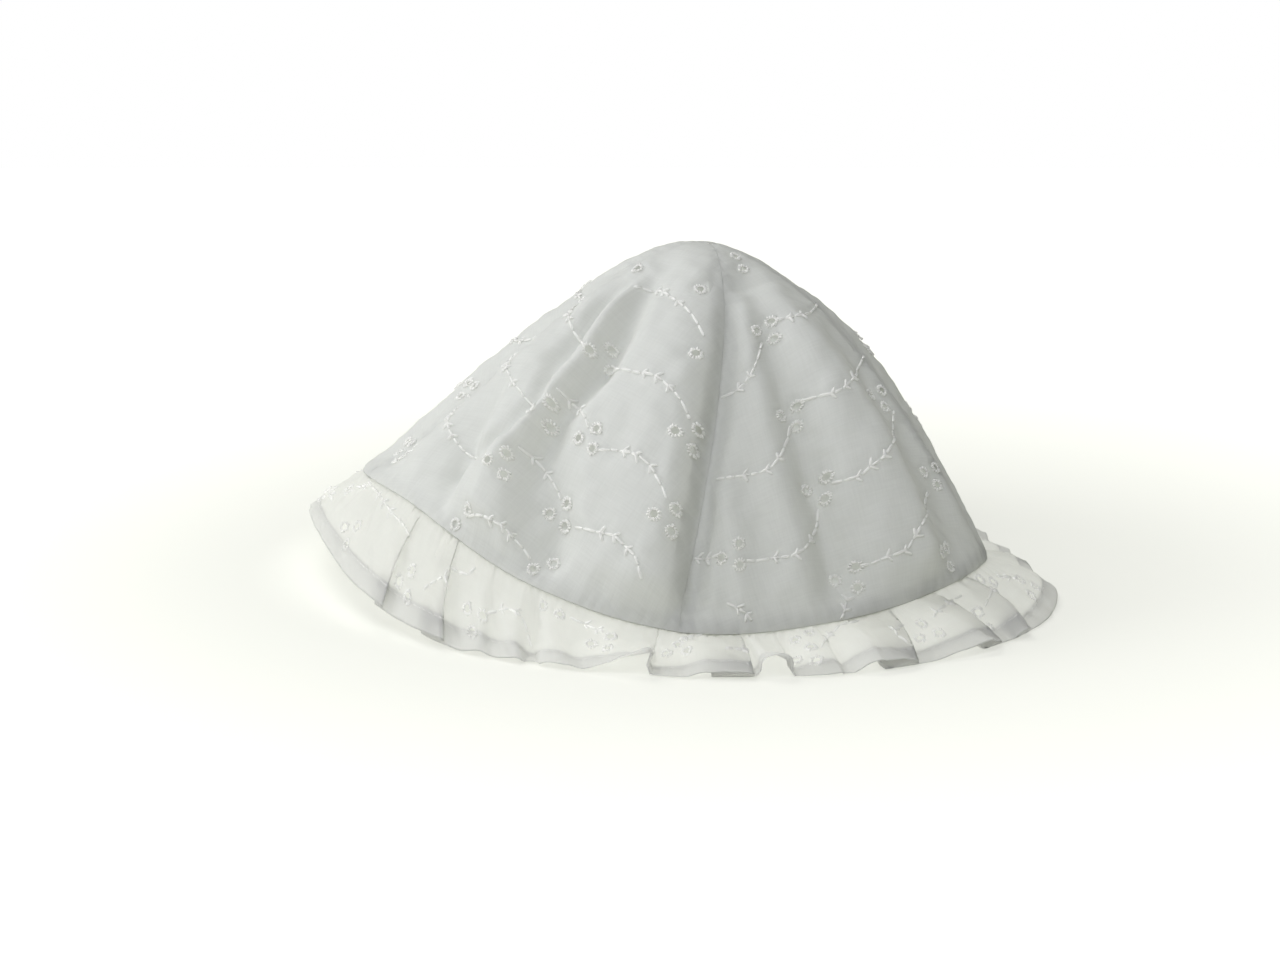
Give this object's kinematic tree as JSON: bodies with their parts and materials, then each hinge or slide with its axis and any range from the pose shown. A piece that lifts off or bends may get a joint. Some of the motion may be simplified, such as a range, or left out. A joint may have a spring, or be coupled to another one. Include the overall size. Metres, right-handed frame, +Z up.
{
  "type": "sun hat",
  "caption": "Small child's bell-shaped sun hat: pierced cotton gores sewn into a soft crown over a plain lining, with a gathered ruffle round its edge.",
  "frame": {"origin": "middle of the hem's footprint, on the surface that the hem rests on", "axes": "+Z up through the crown; -Y towards the front seam, the side that the picture shows; +X to the right as seen from that side"},
  "size_m": [0.2818, 0.2866, 0.122],
  "materials": {
    "eyelet_cotton": "matte white plain-woven cotton with satin-stitched eyelets, stems and leaves",
    "lining_cotton": "matte white plain cotton lawn",
    "ruffle_cotton": "matte white eyelet cotton, one layer, gathered, with a stitched hem"
  },
  "bodies": {
    "root": {"gore_front_right": "eyelet_cotton", "gore_right": "eyelet_cotton", "gore_back": "eyelet_cotton", "gore_left": "eyelet_cotton", "gore_front_left": "eyelet_cotton", "lining": "lining_cotton", "ruffle": "ruffle_cotton"}
  },
  "joints": []
}
